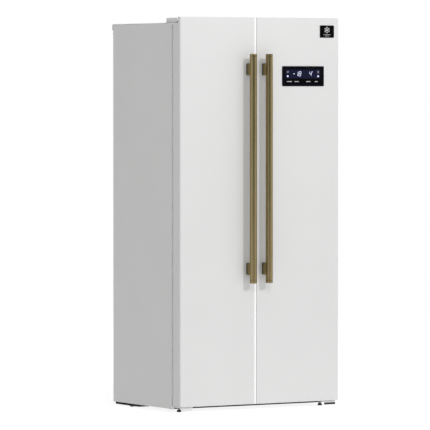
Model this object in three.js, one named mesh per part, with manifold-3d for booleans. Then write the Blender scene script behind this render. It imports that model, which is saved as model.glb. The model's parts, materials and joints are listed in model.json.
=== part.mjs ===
// A free-standing side-by-side refrigerator: a narrow freezer on the left and a wider fresh-food
// compartment on the right, each behind its own full-height hinged door with a bar handle.
//
// Millimetres, +Z up, front facing -Y. The origin is on the floor, under the middle of the whole
// object, handles and rear rail included.

import * as THREE from "three";
import { mergeVertices } from "three/addons/utils/BufferGeometryUtils.js";
import Module from "manifold-3d";

const wasm = await Module();
wasm.setup();

// ---------------------------------------------------------------- driving dimensions

const WIDTH = 836;
const DEPTH = 665; // handles to rear rail
const HALF = WIDTH / 2;
const CLEAR = 0.3; // gap left between pieces that touch
const ARC = 4; // straight pieces in a quarter-round

// Depths are given behind the door face, and turned into Y by at().
const HANDLE_REACH = 63;
const DOOR_FACE = HANDLE_REACH - DEPTH / 2;
const at = (depth) => DOOR_FACE + depth;

const DOOR_THICK = 60;
const CABINET_FRONT = 73;
const CABINET_BACK = 594;
const RAIL_BACK = 602;

const DOOR_BOTTOM = 28;
const DOOR_TOP = 1757;
const CABINET_BOTTOM = 16;
const CABINET_TOP = 1732;
const CABINET_EDGE_R = 5;

// Doors. The freezer door is the narrow one; SPLIT is the middle of the gap between them.
const SPLIT = -21;
const DOOR_GAP = 4;
const SKIN = 1;
const SKIN_RETURN = 12;
const HINGE_EDGE_R = 8;
const FREE_EDGE_R = 3;
const CAP_HEIGHT = 34;
const PIVOT_INSET = 20;
const PIVOT_DEPTH = 40;
const PIN_R = 5;
const PIN_BORE_R = 5.2;
const NOTCH = { width: 80, front: 17, floor: 1731, ramp: 3 };

// Door lining: a raised ring that carries the bins and seals inside the compartment mouth.
const LINER = 2.2;
const RING_WALL = 20;
const RING_DEPTH = 120;
const RING_LOW = 85;
const RING_HIGH = 1676;
const GASKET_INSET = { hinge: 21, free: 10 };
const GASKET_WIDTH = 14;
const BIN_DEPTH = 155;
const BIN_WALL = 2.2;
const BIN_HEIGHT = 96;

// Bar handles.
const BAR_R = 16;
const BAR_AXIS = -47;
const BAR_LOW = 571;
const BAR_HIGH = 1594;
const BAR_X = { freezer: -65.5, fridge: 17.5 };
const POST = { width: 20, height: 54, low: 634.5, high: 1525.5, radius: 4 };

// Compartments: inside faces of the two liners.
const ROOM = {
  freezer: { x0: -372, x1: -46 },
  fridge: { x0: 6, x1: 372 },
  z0: 75,
  z1: 1686,
  back: 532,
  humpTop: 245,
  humpFront: 369,
};
const FOAM_BOTTOM = 40;
const MACHINE = { top: 208, front: 402 };

// Shelves and drawers.
const SHELF = { front: 192, glass: 4, trim: 13, trimDepth: 12 };
const FREEZER_SHELVES = [585, 960];
const FRIDGE_SHELVES = [337, 667, 997, 1327];
const SHELF_BACK = { freezer: 466, fridge: 500 };
const RIB = { reach: 7, height: 6 };
const DRAWER_FRONT = 200;
const DRAWER_WALL = 2.5;
const DRAWER_RIB = 18;
const ICE_BUCKET = [1331, 1480];

// ---------------------------------------------------------------- materials

const paint = (color, roughness, metalness = 0) =>
  new THREE.MeshStandardMaterial({ color, roughness, metalness });

const MATERIAL = {
  whiteSteel: paint("#e9e9e8", 0.35),
  whitePlastic: paint("#eef0f0", 0.4),
  clearPlastic: paint("#dfe8ea", 0.15),
  glass: paint("#d5e6e2", 0.05),
  foam: paint("#e6d9a8", 0.95),
  seal: paint("#c9cac8", 0.8),
  brass: paint("#8e7a50", 0.35, 1),
  blackGlass: paint("#07080b", 0.08),
  darkSteel: paint("#2b2d2f", 0.6, 0.6),
  zincSteel: paint("#b9bcbd", 0.45, 0.9),
  blackPlastic: paint("#1c1d1f", 0.6),
  aluminium: paint("#c4c8cb", 0.4, 1),
};

// ---------------------------------------------------------------- solids

function solidOf(geometry) {
  const loose = geometry.index ? geometry.toNonIndexed() : geometry;
  const bare = new THREE.BufferGeometry();
  bare.setAttribute("position", loose.getAttribute("position"));
  const merged = mergeVertices(bare, 1e-4);
  const mesh = new wasm.Mesh({
    numProp: 3,
    vertProperties: merged.attributes.position.array,
    triVerts: new Uint32Array(merged.index.array),
  });
  return new wasm.Manifold(mesh);
}

function geometryOf(solid) {
  const mesh = solid.getMesh();
  const geometry = new THREE.BufferGeometry();
  geometry.setAttribute("position", new THREE.BufferAttribute(mesh.vertProperties, 3));
  geometry.setIndex(new THREE.BufferAttribute(mesh.triVerts, 1));
  geometry.computeVertexNormals();
  return geometry;
}

const union = (...solids) => solids.reduce((a, b) => a.add(b));
const cut = (body, ...tools) => tools.reduce((a, b) => a.subtract(b), body);
const common = (...solids) => solids.reduce((a, b) => a.intersect(b));

// A box between two corners; y is given as depth behind the door face.
function block([x0, x1], [d0, d1], [z0, z1]) {
  const geometry = new THREE.BoxGeometry(x1 - x0, d1 - d0, z1 - z0);
  geometry.translate((x0 + x1) / 2, at((d0 + d1) / 2), (z0 + z1) / 2);
  return solidOf(geometry);
}

// A rectangle with its own radius at each corner, in the order low-left, low-right, high-right, high-left.
function roundRect([u0, u1], [v0, v1], [r0, r1, r2, r3]) {
  const shape = new THREE.Shape();
  shape.moveTo(u0 + r0, v0);
  shape.lineTo(u1 - r1, v0);
  if (r1) shape.absarc(u1 - r1, v0 + r1, r1, -Math.PI / 2, 0);
  shape.lineTo(u1, v1 - r2);
  if (r2) shape.absarc(u1 - r2, v1 - r2, r2, 0, Math.PI / 2);
  shape.lineTo(u0 + r3, v1);
  if (r3) shape.absarc(u0 + r3, v1 - r3, r3, Math.PI / 2, Math.PI);
  shape.lineTo(u0, v0 + r0);
  if (r0) shape.absarc(u0 + r0, v0 + r0, r0, Math.PI, Math.PI * 1.5);
  return shape;
}

function extrude(shape, length, [u, v, w], offset) {
  const geometry = new THREE.ExtrudeGeometry(shape, {
    depth: length,
    bevelEnabled: false,
    curveSegments: ARC,
  });
  geometry.applyMatrix4(new THREE.Matrix4().makeBasis(u, v, w));
  geometry.translate(offset.x, offset.y, offset.z);
  return solidOf(geometry);
}

const EX = new THREE.Vector3(1, 0, 0);
const EY = new THREE.Vector3(0, 1, 0);
const EZ = new THREE.Vector3(0, 0, 1);

// Prisms whose outline is drawn in plan (X and depth), from the front (X and Z) or from the side
// (depth and Z), and which run along the remaining axis.
const planPrism = (shape, [z0, z1]) =>
  extrude(shape, z1 - z0, [EX, EY, EZ], new THREE.Vector3(0, at(0), z0));
const frontPrism = (shape, [d0, d1]) =>
  extrude(shape, d1 - d0, [EX, EZ, EY.clone().negate()], new THREE.Vector3(0, at(d1), 0));
const sidePrism = (shape, [x0, x1]) =>
  extrude(shape, x1 - x0, [EY, EZ, EX], new THREE.Vector3(x0, at(0), 0));

// A cylinder from a start point along +X, +Y or +Z; y is a depth.
function rod(axis, [x, d, z], radius, length, sides = 20) {
  const geometry = new THREE.CylinderGeometry(radius, radius, length, sides);
  if (axis === "x") geometry.rotateZ(Math.PI / 2);
  if (axis === "z") geometry.rotateX(Math.PI / 2);
  const half = length / 2;
  geometry.translate(
    x + (axis === "x" ? half : 0),
    at(d) + (axis === "y" ? half : 0),
    z + (axis === "z" ? half : 0),
  );
  return solidOf(geometry);
}

// A body turned about a vertical axis, from [radius, z] pairs that start and end on the axis.
function turned(points, x, depth, sides = 24) {
  const profile = points.map(([r, z]) => new THREE.Vector2(r, z));
  const geometry = new THREE.LatheGeometry(profile, sides);
  geometry.rotateX(Math.PI / 2);
  geometry.translate(x, at(depth), 0);
  return solidOf(geometry);
}

// A polygon from [u, v] pairs.
const outline = (points) => new THREE.Shape(points.map(([u, v]) => new THREE.Vector2(u, v)));

const grow = ([low, high], by) => [low - by, high + by];
const between = (a, b) => [Math.min(a, b), Math.max(a, b)];

const refrigerator = new THREE.Group();
refrigerator.name = "side_by_side_refrigerator";

function add(name, solid, material) {
  const mesh = new THREE.Mesh(geometryOf(solid), material);
  mesh.name = name;
  refrigerator.add(mesh);
}

// ---------------------------------------------------------------- cabinet

// The hollow of one compartment, grown by a margin. Its rear floor steps up over the machine space.
function roomHollow(room, margin, front) {
  const xs = grow([room.x0, room.x1], margin);
  const back = ROOM.back + margin;
  const [z0, z1] = grow([ROOM.z0, ROOM.z1], margin);
  const r = 14 + margin;
  const humpFront = ROOM.humpFront + margin;
  const humpTop = ROOM.humpTop - margin;
  const side = outline([
    [front, z0],
    [humpFront - 6, z0],
    [humpFront, z0 + 6],
    [humpFront, humpTop - 20],
    [humpFront + 20, humpTop],
    [back - 20, humpTop],
    [back, humpTop + 20],
    [back, z1 - 20],
    [back - 20, z1],
    [front, z1],
  ]);
  const plan = roundRect(xs, [front, back], [0, 0, r, r]);
  const face = roundRect(xs, [z0, z1], [r, r, r, r]);
  return common(
    sidePrism(side, xs),
    planPrism(plan, [z0, z1]),
    frontPrism(face, [front, back]),
  );
}

const FACE_SHEET = 1.2;
const INNER_FRONT = CABINET_FRONT + FACE_SHEET + CLEAR;
const SHEET = 1.2;

// The cabinet seen from the front, inset by a margin; only its top corners are round.
function cabinetOutline(inset, bottom) {
  const r = CABINET_EDGE_R - inset;
  return roundRect([inset - HALF, HALF - inset], [bottom, CABINET_TOP - inset], [0, 0, r, r]);
}

function outerWrapper() {
  return cut(
    frontPrism(cabinetOutline(0, CABINET_BOTTOM), [CABINET_FRONT, CABINET_BACK]),
    frontPrism(cabinetOutline(SHEET, CABINET_BOTTOM - 1), [CABINET_FRONT - 1, CABINET_BACK + 1]),
  );
}

function frontFrame() {
  const depths = [CABINET_FRONT, CABINET_FRONT + FACE_SHEET];
  const plate = frontPrism(cabinetOutline(SHEET + CLEAR, FOAM_BOTTOM), depths);
  const mouths = [ROOM.freezer, ROOM.fridge].map((room) =>
    frontPrism(
      roundRect([room.x0, room.x1], [ROOM.z0, ROOM.z1], [14, 14, 14, 14]),
      grow(depths, 1),
    ),
  );
  return cut(plate, ...mouths);
}

function insulation() {
  const depths = [INNER_FRONT, CABINET_BACK - SHEET - CLEAR];
  const body = frontPrism(cabinetOutline(SHEET + 2 * CLEAR, FOAM_BOTTOM + 3), depths);
  const machine = block([-HALF, HALF], [MACHINE.front - 3, CABINET_BACK], [0, MACHINE.top + 3]);
  const hollows = [ROOM.freezer, ROOM.fridge].map((room) =>
    roomHollow(room, LINER + CLEAR, INNER_FRONT - 5),
  );
  return cut(body, machine, ...hollows);
}

// A pair of ledges moulded into the side walls, under a shelf or a drawer.
function ledges(room, top, depths, reach) {
  const zs = [top - RIB.height, top];
  return [
    block([room.x0 - 1, room.x0 + reach], depths, zs),
    block([room.x1 - reach, room.x1 + 1], depths, zs),
  ];
}

function liner(room, shelves, back, drawerLedges) {
  const shell = cut(
    roomHollow(room, LINER, INNER_FRONT),
    roomHollow(room, 0, INNER_FRONT - 5),
  );
  const depths = [SHELF.front + 10, back];
  const ribs = shelves.flatMap((z) => ledges(room, z - CLEAR, depths, RIB.reach));
  const runners = drawerLedges.flatMap((z) => ledges(room, z, depths, DRAWER_RIB));
  return union(shell, ...ribs, ...runners);
}

function backPanel() {
  const sheetDepths = [CABINET_BACK - SHEET, CABINET_BACK];
  const sheet = frontPrism(cabinetOutline(SHEET + CLEAR, MACHINE.top + 3), sheetDepths);
  const edge = HALF - SHEET - CLEAR;
  const rail = sidePrism(
    roundRect([CABINET_BACK + CLEAR, RAIL_BACK], [1703, CABINET_TOP - 2], [0, 3, 3, 0]),
    [-HALF, HALF],
  );
  const web = block(
    [-edge, edge],
    [CABINET_BACK - SHEET, CABINET_BACK + 2],
    [1705, CABINET_TOP - CABINET_EDGE_R - 1],
  );
  const bumpers = [-1, 1].map((s) =>
    rod("y", [s * (HALF - 9), CABINET_BACK + CLEAR, 1687], 6, RAIL_BACK - CABINET_BACK - CLEAR, 12),
  );
  const arms = [-1, 1].map((s) =>
    block(
      [s * (HALF - 9) - 4, s * (HALF - 9) + 4],
      [CABINET_BACK + CLEAR, CABINET_BACK + 4],
      [1687, 1710],
    ),
  );
  return union(sheet, rail, web, ...bumpers, ...arms);
}

// Rear casters turn on stub axles that stand on the chassis.
const FOOT = { x: 372, depth: 86, discR: 10, stemR: 5 };
const CASTER = { x: 397, depth: 457, radius: 23, half: 8, axle: 4 };

function chassis() {
  const edge = HALF - SHEET - CLEAR;
  const wall = 2;
  const rear = CABINET_BACK - SHEET - CLEAR;
  const front = INNER_FRONT + 1;
  const top = FOAM_BOTTOM + 1;
  const deck = block([-edge, edge], [front, MACHINE.front], [FOAM_BOTTOM, FOAM_BOTTOM + 2.5]);
  const riser = block([-edge, edge], [MACHINE.front - wall, MACHINE.front], [FOAM_BOTTOM, MACHINE.top]);
  const ceiling = block([-edge, edge], [MACHINE.front - wall, rear], [MACHINE.top, MACHINE.top + wall]);
  const tray = block([-408, 408], [MACHINE.front - 22, CABINET_BACK - 3], [5, 8]);
  const trayFront = block([-408, 408], [MACHINE.front - 22, MACHINE.front - 19], [5, top]);
  const trayBack = block([-408, 408], [CABINET_BACK - 6, CABINET_BACK - 3], [5, 20]);
  const beam = block([-edge, edge], [front, front + 3], [15, top]);
  const beamFoot = block([-edge, edge], [front, front + 25], [15, 17]);
  const sides = [-1, 1].map((s) => {
    const skirt = between(s * edge, s * (edge - wall));
    return union(
      block(skirt, [front, MACHINE.front], [CABINET_BOTTOM + 1, top]),
      block(
        between(s * edge, s * (edge - 22)),
        [front + 1, MACHINE.front - 24],
        [CABINET_BOTTOM + 1, CABINET_BOTTOM + 3],
      ),
      block(skirt, [MACHINE.front - wall, rear], [CABINET_BOTTOM, MACHINE.top + 1]),
    );
  });
  const wheelSlots = [-1, 1].map((s) =>
    block(
      [s * CASTER.x - CASTER.half - 2, s * CASTER.x + CASTER.half + 2],
      [CASTER.depth - CASTER.radius - 4, CASTER.depth + CASTER.radius + 4],
      [0, 12],
    ),
  );
  const axles = [-1, 1].map((s) => {
    const inner = s * (CASTER.x - CASTER.half - 4);
    const ear = block(
      [inner - 1.5, inner + 1.5],
      [CASTER.depth - 14, CASTER.depth + 14],
      [6, CASTER.radius + 10],
    );
    const tip = s * (CASTER.x + CASTER.half + 2);
    const start = Math.min(inner, tip);
    return union(
      ear,
      rod("x", [start, CASTER.depth, CASTER.radius], CASTER.axle, Math.abs(tip - inner), 12),
    );
  });
  const footHoles = [-1, 1].map((s) =>
    rod("z", [s * FOOT.x, FOOT.depth, 10], FOOT.stemR + 0.4, 12, 16),
  );
  const body = union(deck, riser, ceiling, tray, trayFront, trayBack, beam, beamFoot, ...sides);
  return union(cut(body, ...wheelSlots, ...footHoles), ...axles);
}

function caster(side) {
  const x = side * CASTER.x;
  const { half, radius, axle, depth } = CASTER;
  const tyre = rod("x", [x - half, depth, radius], radius, 2 * half, 28);
  const groove = [-1, 1].map((s) =>
    cut(
      rod("x", [x + (s > 0 ? half - 3 : -half - 1), depth, radius], radius - 4, 4, 16),
      rod("x", [x - half - 2, depth, radius], 9, 2 * half + 4, 12),
    ),
  );
  const bore = rod("x", [x - half - 1, depth, radius], axle + 0.5, 2 * half + 2, 12);
  return cut(tyre, ...groove, bore);
}

// ---------------------------------------------------------------- machine space

function compressor() {
  const x = 235;
  const depth = 495;
  const dome = turned(
    [
      [0, 24],
      [48, 24],
      [62, 32],
      [66, 46],
      [66, 92],
      [69, 94],
      [69, 99],
      [66, 101],
      [65, 118],
      [56, 140],
      [34, 154],
      [0, 158],
    ],
    x,
    depth,
    20,
  );
  const foot = block([x - 84, x + 84], [depth - 62, depth + 62], [18, 27]);
  const hollow = block([x - 70, x + 70], [depth - 70, depth + 70], [10, 22]);
  const pads = [-1, 1].flatMap((u) =>
    [-1, 1].map((v) => rod("z", [x + u * 74, depth + v * 50, 8.5], 9, 12, 8)),
  );
  const terminals = block([x - 92, x - 60], [depth - 22, depth + 22], [58, 108]);
  const suction = rod("z", [x + 30, depth - 40, 120], 4, 40, 10);
  const discharge = rod("z", [x + 40, depth + 34, 110], 3.5, 55, 10);
  return union(dome, cut(foot, hollow), ...pads, terminals, suction, discharge);
}

const GLAND = { x: -300, z: 62 };

function machineCover() {
  const depths = [CABINET_BACK - 2, CABINET_BACK];
  const plate = block([-404, 404], depths, [22, MACHINE.top - 1]);
  const slots = [];
  for (const side of [-1, 1]) {
    for (let row = 0; row < 6; row++) {
      const z = 90 + row * 16;
      for (let column = 0; column < 2; column++) {
        const x = side * (110 + column * 150);
        slots.push(block([x - 58, x + 58], [CABINET_BACK - 5, CABINET_BACK + 5], [z, z + 8]));
      }
    }
  }
  // The cord gland is a moulded collar with a through hole for the supply lead.
  const collar = rod("y", [GLAND.x, CABINET_BACK - 8, GLAND.z - 16], 13, 13, 20);
  const lead = rod("y", [GLAND.x, CABINET_BACK - 12, GLAND.z - 16], 4.5, 24, 14);
  return cut(union(cut(plate, ...slots), collar), lead);
}

function evaporator() {
  const xs = [-350, -72];
  const fins = [];
  for (let i = 0; i < 10; i++) {
    const x = xs[0] + 8 + (i * (xs[1] - xs[0] - 18)) / 9;
    fins.push(block([x, x + 1.6], [482, 526], [335, 560]));
  }
  const tubes = [];
  for (let row = 0; row < 4; row++) {
    const z = 360 + row * 55;
    tubes.push(block(xs, [500, 508], [z, z + 8]));
  }
  const bends = [0, 1, 2].map((row) => {
    const z = 360 + row * 55;
    const right = row % 2 === 0;
    const x = right ? xs[1] - 8 : xs[0];
    return block([x, x + 8], [500, 508], [z, z + 63]);
  });
  return union(...fins, ...tubes, ...bends);
}

const FAN = { x: -209, depth: 500, z: 690 };

function fan() {
  const { x, depth, z } = FAN;
  const hub = rod("y", [x, depth - 12, z], 16, 24, 20);
  const blades = [];
  for (let i = 0; i < 5; i++) {
    const geometry = new THREE.BoxGeometry(34, 2.4, 30);
    geometry.rotateX(0.5);
    geometry.translate(30, 0, 0);
    geometry.rotateY((i * 2 * Math.PI) / 5);
    geometry.translate(x, at(depth), z);
    blades.push(solidOf(geometry));
  }
  return union(hub, ...blades);
}

function freezerDuctCover() {
  const room = ROOM.freezer;
  const xs = [room.x0 + 0.6, room.x1 - 0.6];
  const front = SHELF_BACK.freezer + 4;
  const plate = block(xs, [front, front + 3], [300, ROOM.z1 - 22]);
  const rib = block([xs[0] + 70, xs[1] - 70], [front - 3, front + 2], [640, ROOM.z1 - 40]);
  const cheeks = [xs[0] + 12, xs[1] - 15].map((x) =>
    block([x, x + 3], [front + 2, ROOM.back - 2], [306, ROOM.z1 - 30]),
  );
  const slots = [];
  for (const z of [800, 1160, 1550]) {
    for (const side of [-1, 1]) {
      const x = FAN.x + side * 46;
      slots.push(block([x - 34, x + 34], [front - 5, front + 5], [z, z + 7]));
      slots.push(block([x - 34, x + 34], [front - 5, front + 5], [z + 14, z + 21]));
    }
  }
  for (let i = 0; i < 7; i++) {
    const x = xs[0] + 40 + i * 40;
    slots.push(block([x, x + 7], [front - 5, front + 5], [312, 352]));
  }
  return cut(union(plate, rib, ...cheeks), ...slots);
}

function fridgeDuctCover() {
  const xs = [109, 269];
  const zs = [380, 1610];
  const front = SHELF_BACK.fridge + 5;
  const shape = roundRect(xs, [front, ROOM.back - 0.6], [10, 10, 0, 0]);
  const inside = roundRect(grow(xs, -3), [front + 3, ROOM.back + 3], [8, 8, 0, 0]);
  const slots = [];
  for (const shelf of FRIDGE_SHELVES) {
    const z = shelf + 240;
    for (const side of [-1, 1]) {
      const x = (xs[0] + xs[1]) / 2 + side * 34;
      slots.push(block([x - 24, x + 24], [front - 5, front + 5], [z - 8, z - 2]));
      slots.push(block([x - 24, x + 24], [front - 5, front + 5], [z + 4, z + 10]));
    }
  }
  return cut(planPrism(shape, zs), planPrism(inside, grow(zs, -3)), ...slots);
}

// ---------------------------------------------------------------- hinges and feet

const pivotX = (side) => side * (HALF - PIVOT_INSET);

const HINGE_PLATE = { z: CABINET_TOP + 0.4, thick: 4, inner: 346, outer: 404, back: 138 };
const ARM_HALF = 7.5;

function topHinge(side) {
  const { z, thick, inner, outer, back } = HINGE_PLATE;
  const x = pivotX(side);
  const zs = [z, z + thick];
  const plate = block(between(side * inner, side * outer), [CABINET_FRONT + 5, back], zs);
  const arm = block([x - ARM_HALF, x + ARM_HALF], [PIVOT_DEPTH, CABINET_FRONT + 8], zs);
  const eye = rod("z", [x, PIVOT_DEPTH, z], ARM_HALF, thick, 24);
  const gusset = planPrism(
    outline(
      side < 0
        ? [
            [x + ARM_HALF - 1, CABINET_FRONT - 5],
            [x + ARM_HALF + 30, CABINET_FRONT + 8],
            [x + ARM_HALF - 1, CABINET_FRONT + 8],
          ]
        : [
            [x - ARM_HALF + 1, CABINET_FRONT - 5],
            [x - ARM_HALF + 1, CABINET_FRONT + 8],
            [x - ARM_HALF - 30, CABINET_FRONT + 8],
          ],
    ),
    zs,
  );
  const pin = rod("z", [x, PIVOT_DEPTH, z - 27], PIN_R, 30, 20);
  const screws = [
    [inner + 12, 96],
    [inner + 12, 127],
    [outer - 12, 127],
  ].map(([u, d]) => rod("z", [side * u, d, z + 3], 6.5, 4, 6));
  return union(plate, arm, eye, gusset, pin, ...screws);
}

function hingeCover(side) {
  const xs = between(side * 342, side * 408);
  const depths = [41, 144];
  const top = 1754;
  const low = CABINET_TOP + CLEAR;
  const wall = 2.2;
  const shape = roundRect(xs, depths, [5, 5, 8, 8]);
  const inner = roundRect(grow(xs, -wall), grow(depths, -wall), [3, 3, 6, 6]);
  const shell = cut(planPrism(shape, [low, top]), planPrism(inner, [low - 1, top - wall]));
  const armWay = block(
    between(side * 387, side * 405.8),
    [40, 46],
    [low - 1, HINGE_PLATE.z + HINGE_PLATE.thick + 1],
  );
  return cut(shell, armWay);
}

const STEP_PLATE = { low: 22, high: 26 };

function bottomHinge(side) {
  const { low, high } = STEP_PLATE;
  const plate = planPrism(
    roundRect(between(side * 343, side * 410), [12, 72.4], [6, 6, 0, 0]),
    [low, high],
  );
  const lip = block(between(side * 348, side * 405), [12, 15], [10, high - 1]);
  const upstand = block(between(side * 343, side * 402), [70.2, 72.4], [low, 50]);
  const pin = rod("z", [pivotX(side), PIVOT_DEPTH, high - 1], PIN_R, 21, 20);
  return union(plate, lip, upstand, pin);
}

function foot(side) {
  const { x, depth, discR, stemR } = FOOT;
  return turned(
    [
      [0, 0],
      [discR - 1, 0],
      [discR, 1],
      [discR, 8],
      [discR - 2, 10],
      [stemR, 10],
      [stemR, 34],
      [0, 34],
    ],
    side * x,
    depth,
    16,
  );
}

// ---------------------------------------------------------------- doors

// Everything about one door that follows from which side it hangs on.
function doorPlan(side) {
  const outer = side * HALF;
  const free = SPLIT + (side * DOOR_GAP) / 2;
  const room = side < 0 ? ROOM.freezer : ROOM.fridge;
  const ringFree = side < 0 ? room.x1 - 26 : room.x0 + 26;
  const ringHinge = side * 365;
  return {
    side,
    xs: between(outer, free),
    outer,
    free,
    ring: between(ringHinge, ringFree),
    name: side < 0 ? "freezer" : "fridge",
  };
}

// Plan outline of a door, inset by a margin; the front corners are round.
function doorOutline({ side, xs }, inset) {
  const hinge = Math.max(HINGE_EDGE_R - inset, 1);
  const free = Math.max(FREE_EDGE_R - inset, 1);
  const radii = side < 0 ? [hinge, free, 0, 0] : [free, hinge, 0, 0];
  return roundRect(grow(xs, -inset), [inset, DOOR_THICK - inset], radii);
}

// The pocket in the door's top corner where the hinge arm swings.
function hingePocket({ side, outer }) {
  const { width, front, floor, ramp } = NOTCH;
  const profile = outline([
    [front + ramp, floor],
    [DOOR_THICK + 5, floor],
    [DOOR_THICK + 5, DOOR_TOP + 5],
    [front, DOOR_TOP + 5],
    [front, floor + ramp],
  ]);
  return sidePrism(profile, between(outer + side * 5, outer - side * width));
}

const DISPLAY = { x: [114, 336], z: [1450, 1540], lip: 2, radius: 4, box: 14 };
const displayWindow = (margin, depths) =>
  block(grow(DISPLAY.x, margin - 8), depths, grow(DISPLAY.z, margin - 8));

function doorSkin(door) {
  const outer = planPrism(doorOutline(door, 0), [DOOR_BOTTOM, DOOR_TOP]);
  const inner = planPrism(doorOutline(door, SKIN), [DOOR_BOTTOM - 1, DOOR_TOP + 1]);
  const opening = block(
    grow(door.xs, -SKIN_RETURN),
    [DOOR_THICK - 5, DOOR_THICK + 5],
    [DOOR_BOTTOM - 1, DOOR_TOP + 1],
  );
  const shell = cut(outer, inner, opening, hingePocket(door));
  return door.side > 0 ? cut(shell, displayWindow(0, [-5, 5])) : shell;
}

// An end cap closes the skin top or bottom and carries the hinge bush.
function doorCap(door, top) {
  const inset = SKIN + CLEAR;
  const zs = top ? [DOOR_TOP - CAP_HEIGHT, DOOR_TOP] : [DOOR_BOTTOM, DOOR_BOTTOM + CAP_HEIGHT];
  const body = planPrism(doorOutline(door, inset), zs);
  const x = pivotX(door.side);
  const boreStart = top ? NOTCH.floor - 30 : DOOR_BOTTOM - 2;
  const boreDepth = top ? 40 : 24;
  const bore = rod("z", [x, PIVOT_DEPTH, boreStart], PIN_BORE_R, boreDepth, 20);
  if (!top) return cut(body, bore);
  const boss = rod("z", [x, PIVOT_DEPTH, NOTCH.floor - 28], 12, 24, 20);
  return cut(union(cut(body, hingePocket(door)), boss), bore);
}

const FOAM_ZS = [DOOR_BOTTOM + CAP_HEIGHT + CLEAR, DOOR_TOP - CAP_HEIGHT - CLEAR];
const LINER_FACE = DOOR_THICK - SKIN - CLEAR;

function ringBox(xs, zs, depths) {
  return block(xs, depths, zs);
}

function doorFoam(door) {
  const plan = doorOutline(door, SKIN + CLEAR);
  const slab = planPrism(plan, FOAM_ZS);
  const trim = block(grow(door.xs, 5), [LINER_FACE - LINER - CLEAR, DOOR_THICK + 5], grow(FOAM_ZS, 5));
  const inset = LINER + CLEAR;
  const ring = cut(
    ringBox(
      grow(door.ring, -inset),
      [RING_LOW + inset, RING_HIGH - inset],
      [LINER_FACE - LINER - 4, RING_DEPTH - inset],
    ),
    ringBox(
      grow(door.ring, inset - RING_WALL),
      [RING_LOW + RING_WALL - inset, RING_HIGH - RING_WALL + inset],
      [LINER_FACE - LINER - 10, RING_DEPTH + 5],
    ),
  );
  const boss = rod("z", [pivotX(door.side), PIVOT_DEPTH, NOTCH.floor - 32], 13, 40, 20);
  const body = cut(union(cut(slab, trim), ring), boss);
  return door.side > 0 ? cut(body, displayWindow(3, [-5, DISPLAY.box + 3])) : body;
}

function doorLiner(door) {
  const sheet = block(
    grow(door.xs, -SKIN - CLEAR),
    [LINER_FACE - LINER, LINER_FACE],
    FOAM_ZS,
  );
  const ring = ringBox(door.ring, [RING_LOW, RING_HIGH], [LINER_FACE - 1, RING_DEPTH]);
  const core = cut(
    ringBox(
      grow(door.ring, -LINER),
      [RING_LOW + LINER, RING_HIGH - LINER],
      [LINER_FACE - LINER - 1, RING_DEPTH - LINER],
    ),
    ringBox(
      grow(door.ring, LINER - RING_WALL),
      [RING_LOW + RING_WALL - LINER, RING_HIGH - RING_WALL + LINER],
      [0, RING_DEPTH + 5],
    ),
  );
  const well = ringBox(
    grow(door.ring, -RING_WALL),
    [RING_LOW + RING_WALL, RING_HIGH - RING_WALL],
    [LINER_FACE, RING_DEPTH + 5],
  );
  const steps = [...Array(9).keys()].flatMap((i) => {
    const z = 200 + i * 165;
    const inner = grow(door.ring, -RING_WALL);
    return [
      block([inner[0] - 1, inner[0] + 3], [75, 108], [z, z + 14]),
      block([inner[1] - 3, inner[1] + 1], [75, 108], [z, z + 14]),
    ];
  });
  return union(cut(union(sheet, ring), core, well), ...steps);
}

function gasket(door) {
  const depths = [DOOR_THICK + CLEAR, CABINET_FRONT - CLEAR];
  const { hinge, free } = GASKET_INSET;
  const xs = between(door.outer - door.side * hinge, door.free + door.side * free);
  const zs = [DOOR_BOTTOM + 25, DOOR_TOP - 50];
  const outer = frontPrism(roundRect(xs, zs, [8, 8, 8, 8]), depths);
  const inner = frontPrism(
    roundRect(grow(xs, -GASKET_WIDTH), grow(zs, -GASKET_WIDTH), [3, 3, 3, 3]),
    grow(depths, 2),
  );
  return cut(outer, inner);
}

function handleBar(x) {
  const seam = 12;
  const groove = 0.5;
  const chamfer = 1.2;
  return turned(
    [
      [0, BAR_LOW],
      [BAR_R - chamfer, BAR_LOW],
      [BAR_R, BAR_LOW + chamfer],
      [BAR_R, BAR_LOW + seam - groove],
      [BAR_R - groove, BAR_LOW + seam],
      [BAR_R, BAR_LOW + seam + groove],
      [BAR_R, BAR_HIGH - seam - groove],
      [BAR_R - groove, BAR_HIGH - seam],
      [BAR_R, BAR_HIGH - seam + groove],
      [BAR_R, BAR_HIGH - chamfer],
      [BAR_R - chamfer, BAR_HIGH],
      [0, BAR_HIGH],
    ],
    x,
    BAR_AXIS,
    20,
  );
}

function handlePost(x, z) {
  const { width, height, radius } = POST;
  const shape = roundRect(
    [x - width / 2, x + width / 2],
    [z - height / 2, z + height / 2],
    [radius, radius, radius, radius],
  );
  const saddle = rod("z", [x, BAR_AXIS, z - height], BAR_R + CLEAR, 2 * height, 20);
  return cut(frontPrism(shape, [BAR_AXIS + 8, -CLEAR]), saddle);
}

function doorBin(door, low) {
  const xs = grow(door.ring, -RING_WALL - CLEAR - 3);
  const depths = [LINER_FACE + CLEAR, BIN_DEPTH];
  const shape = roundRect(xs, depths, [0, 0, 5, 5]);
  const inner = roundRect(grow(xs, -BIN_WALL), grow(depths, -BIN_WALL), [0, 0, 3, 3]);
  const tub = cut(
    planPrism(shape, [low, low + BIN_HEIGHT]),
    planPrism(inner, [low + BIN_WALL, low + BIN_HEIGHT + 5]),
  );
  const scoop = outline([
    [50, low + 58],
    [108, low + 58],
    [134, low + BIN_HEIGHT + 5],
    [50, low + BIN_HEIGHT + 5],
  ]);
  return cut(tub, sidePrism(scoop, grow(xs, 5)));
}

function displayModule() {
  const plate = frontPrism(
    roundRect(DISPLAY.x, DISPLAY.z, Array(4).fill(DISPLAY.radius)),
    [-DISPLAY.lip - CLEAR, -CLEAR],
  );
  return union(plate, displayWindow(-CLEAR, [-1, DISPLAY.box]));
}

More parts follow.
